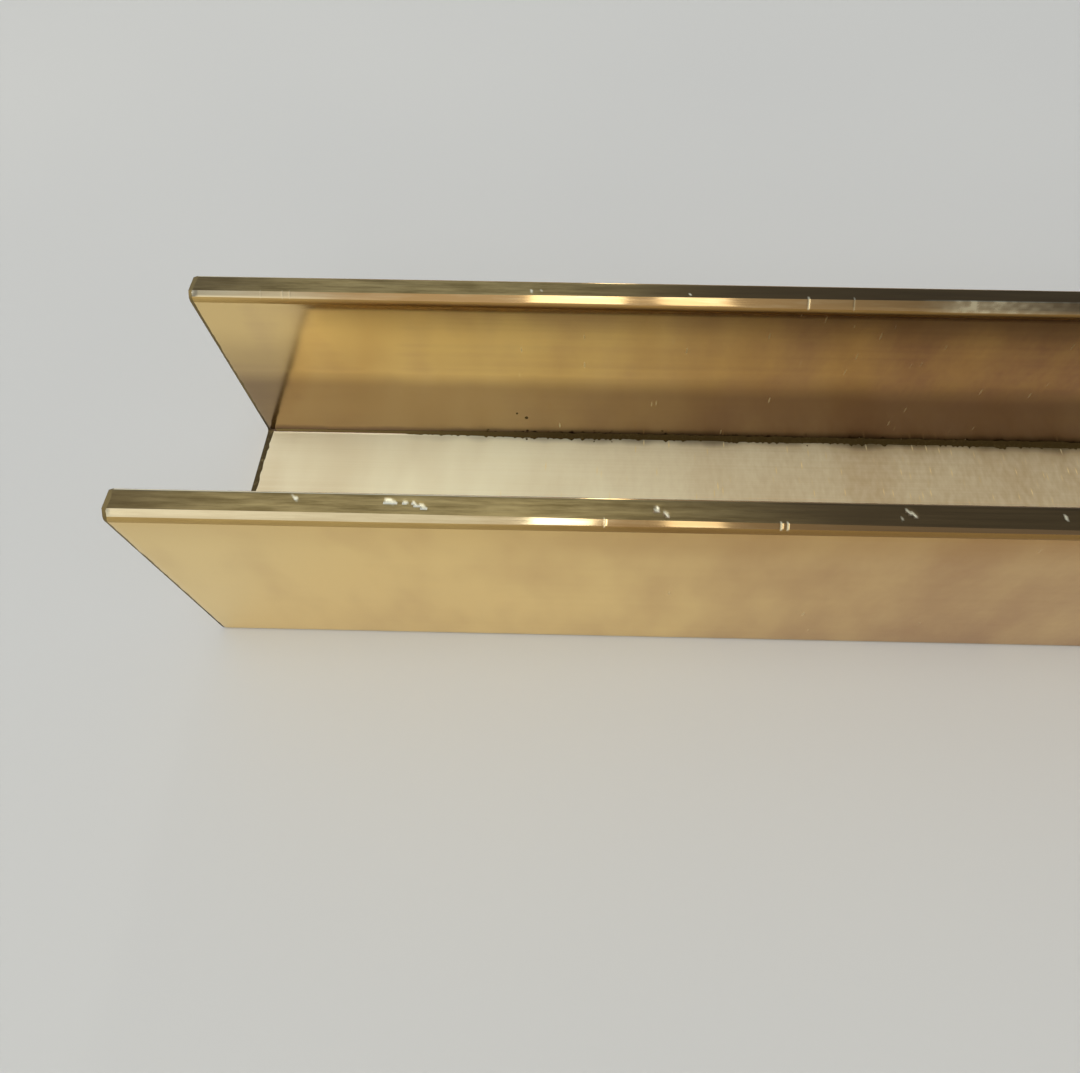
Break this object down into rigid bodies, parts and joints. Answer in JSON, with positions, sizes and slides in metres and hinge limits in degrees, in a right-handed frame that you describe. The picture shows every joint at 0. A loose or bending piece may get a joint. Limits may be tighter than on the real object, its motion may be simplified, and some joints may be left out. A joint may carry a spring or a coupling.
{
  "type": "brass u-channel",
  "caption": "Straight length of brass channel with a U section, square sawn ends and dressed flange tips, lying open side up.",
  "frame": {"origin": "middle of the underside of the web, on the floor it lies on", "axes": "+X along the length, +Y across the slot, +Z out of the open side of the slot"},
  "size_m": [0.3, 0.015, 0.015],
  "materials": {
    "brass": "satin, as drawn, lightly tarnished"
  },
  "bodies": {
    "root": {"channel": "brass"}
  },
  "joints": []
}
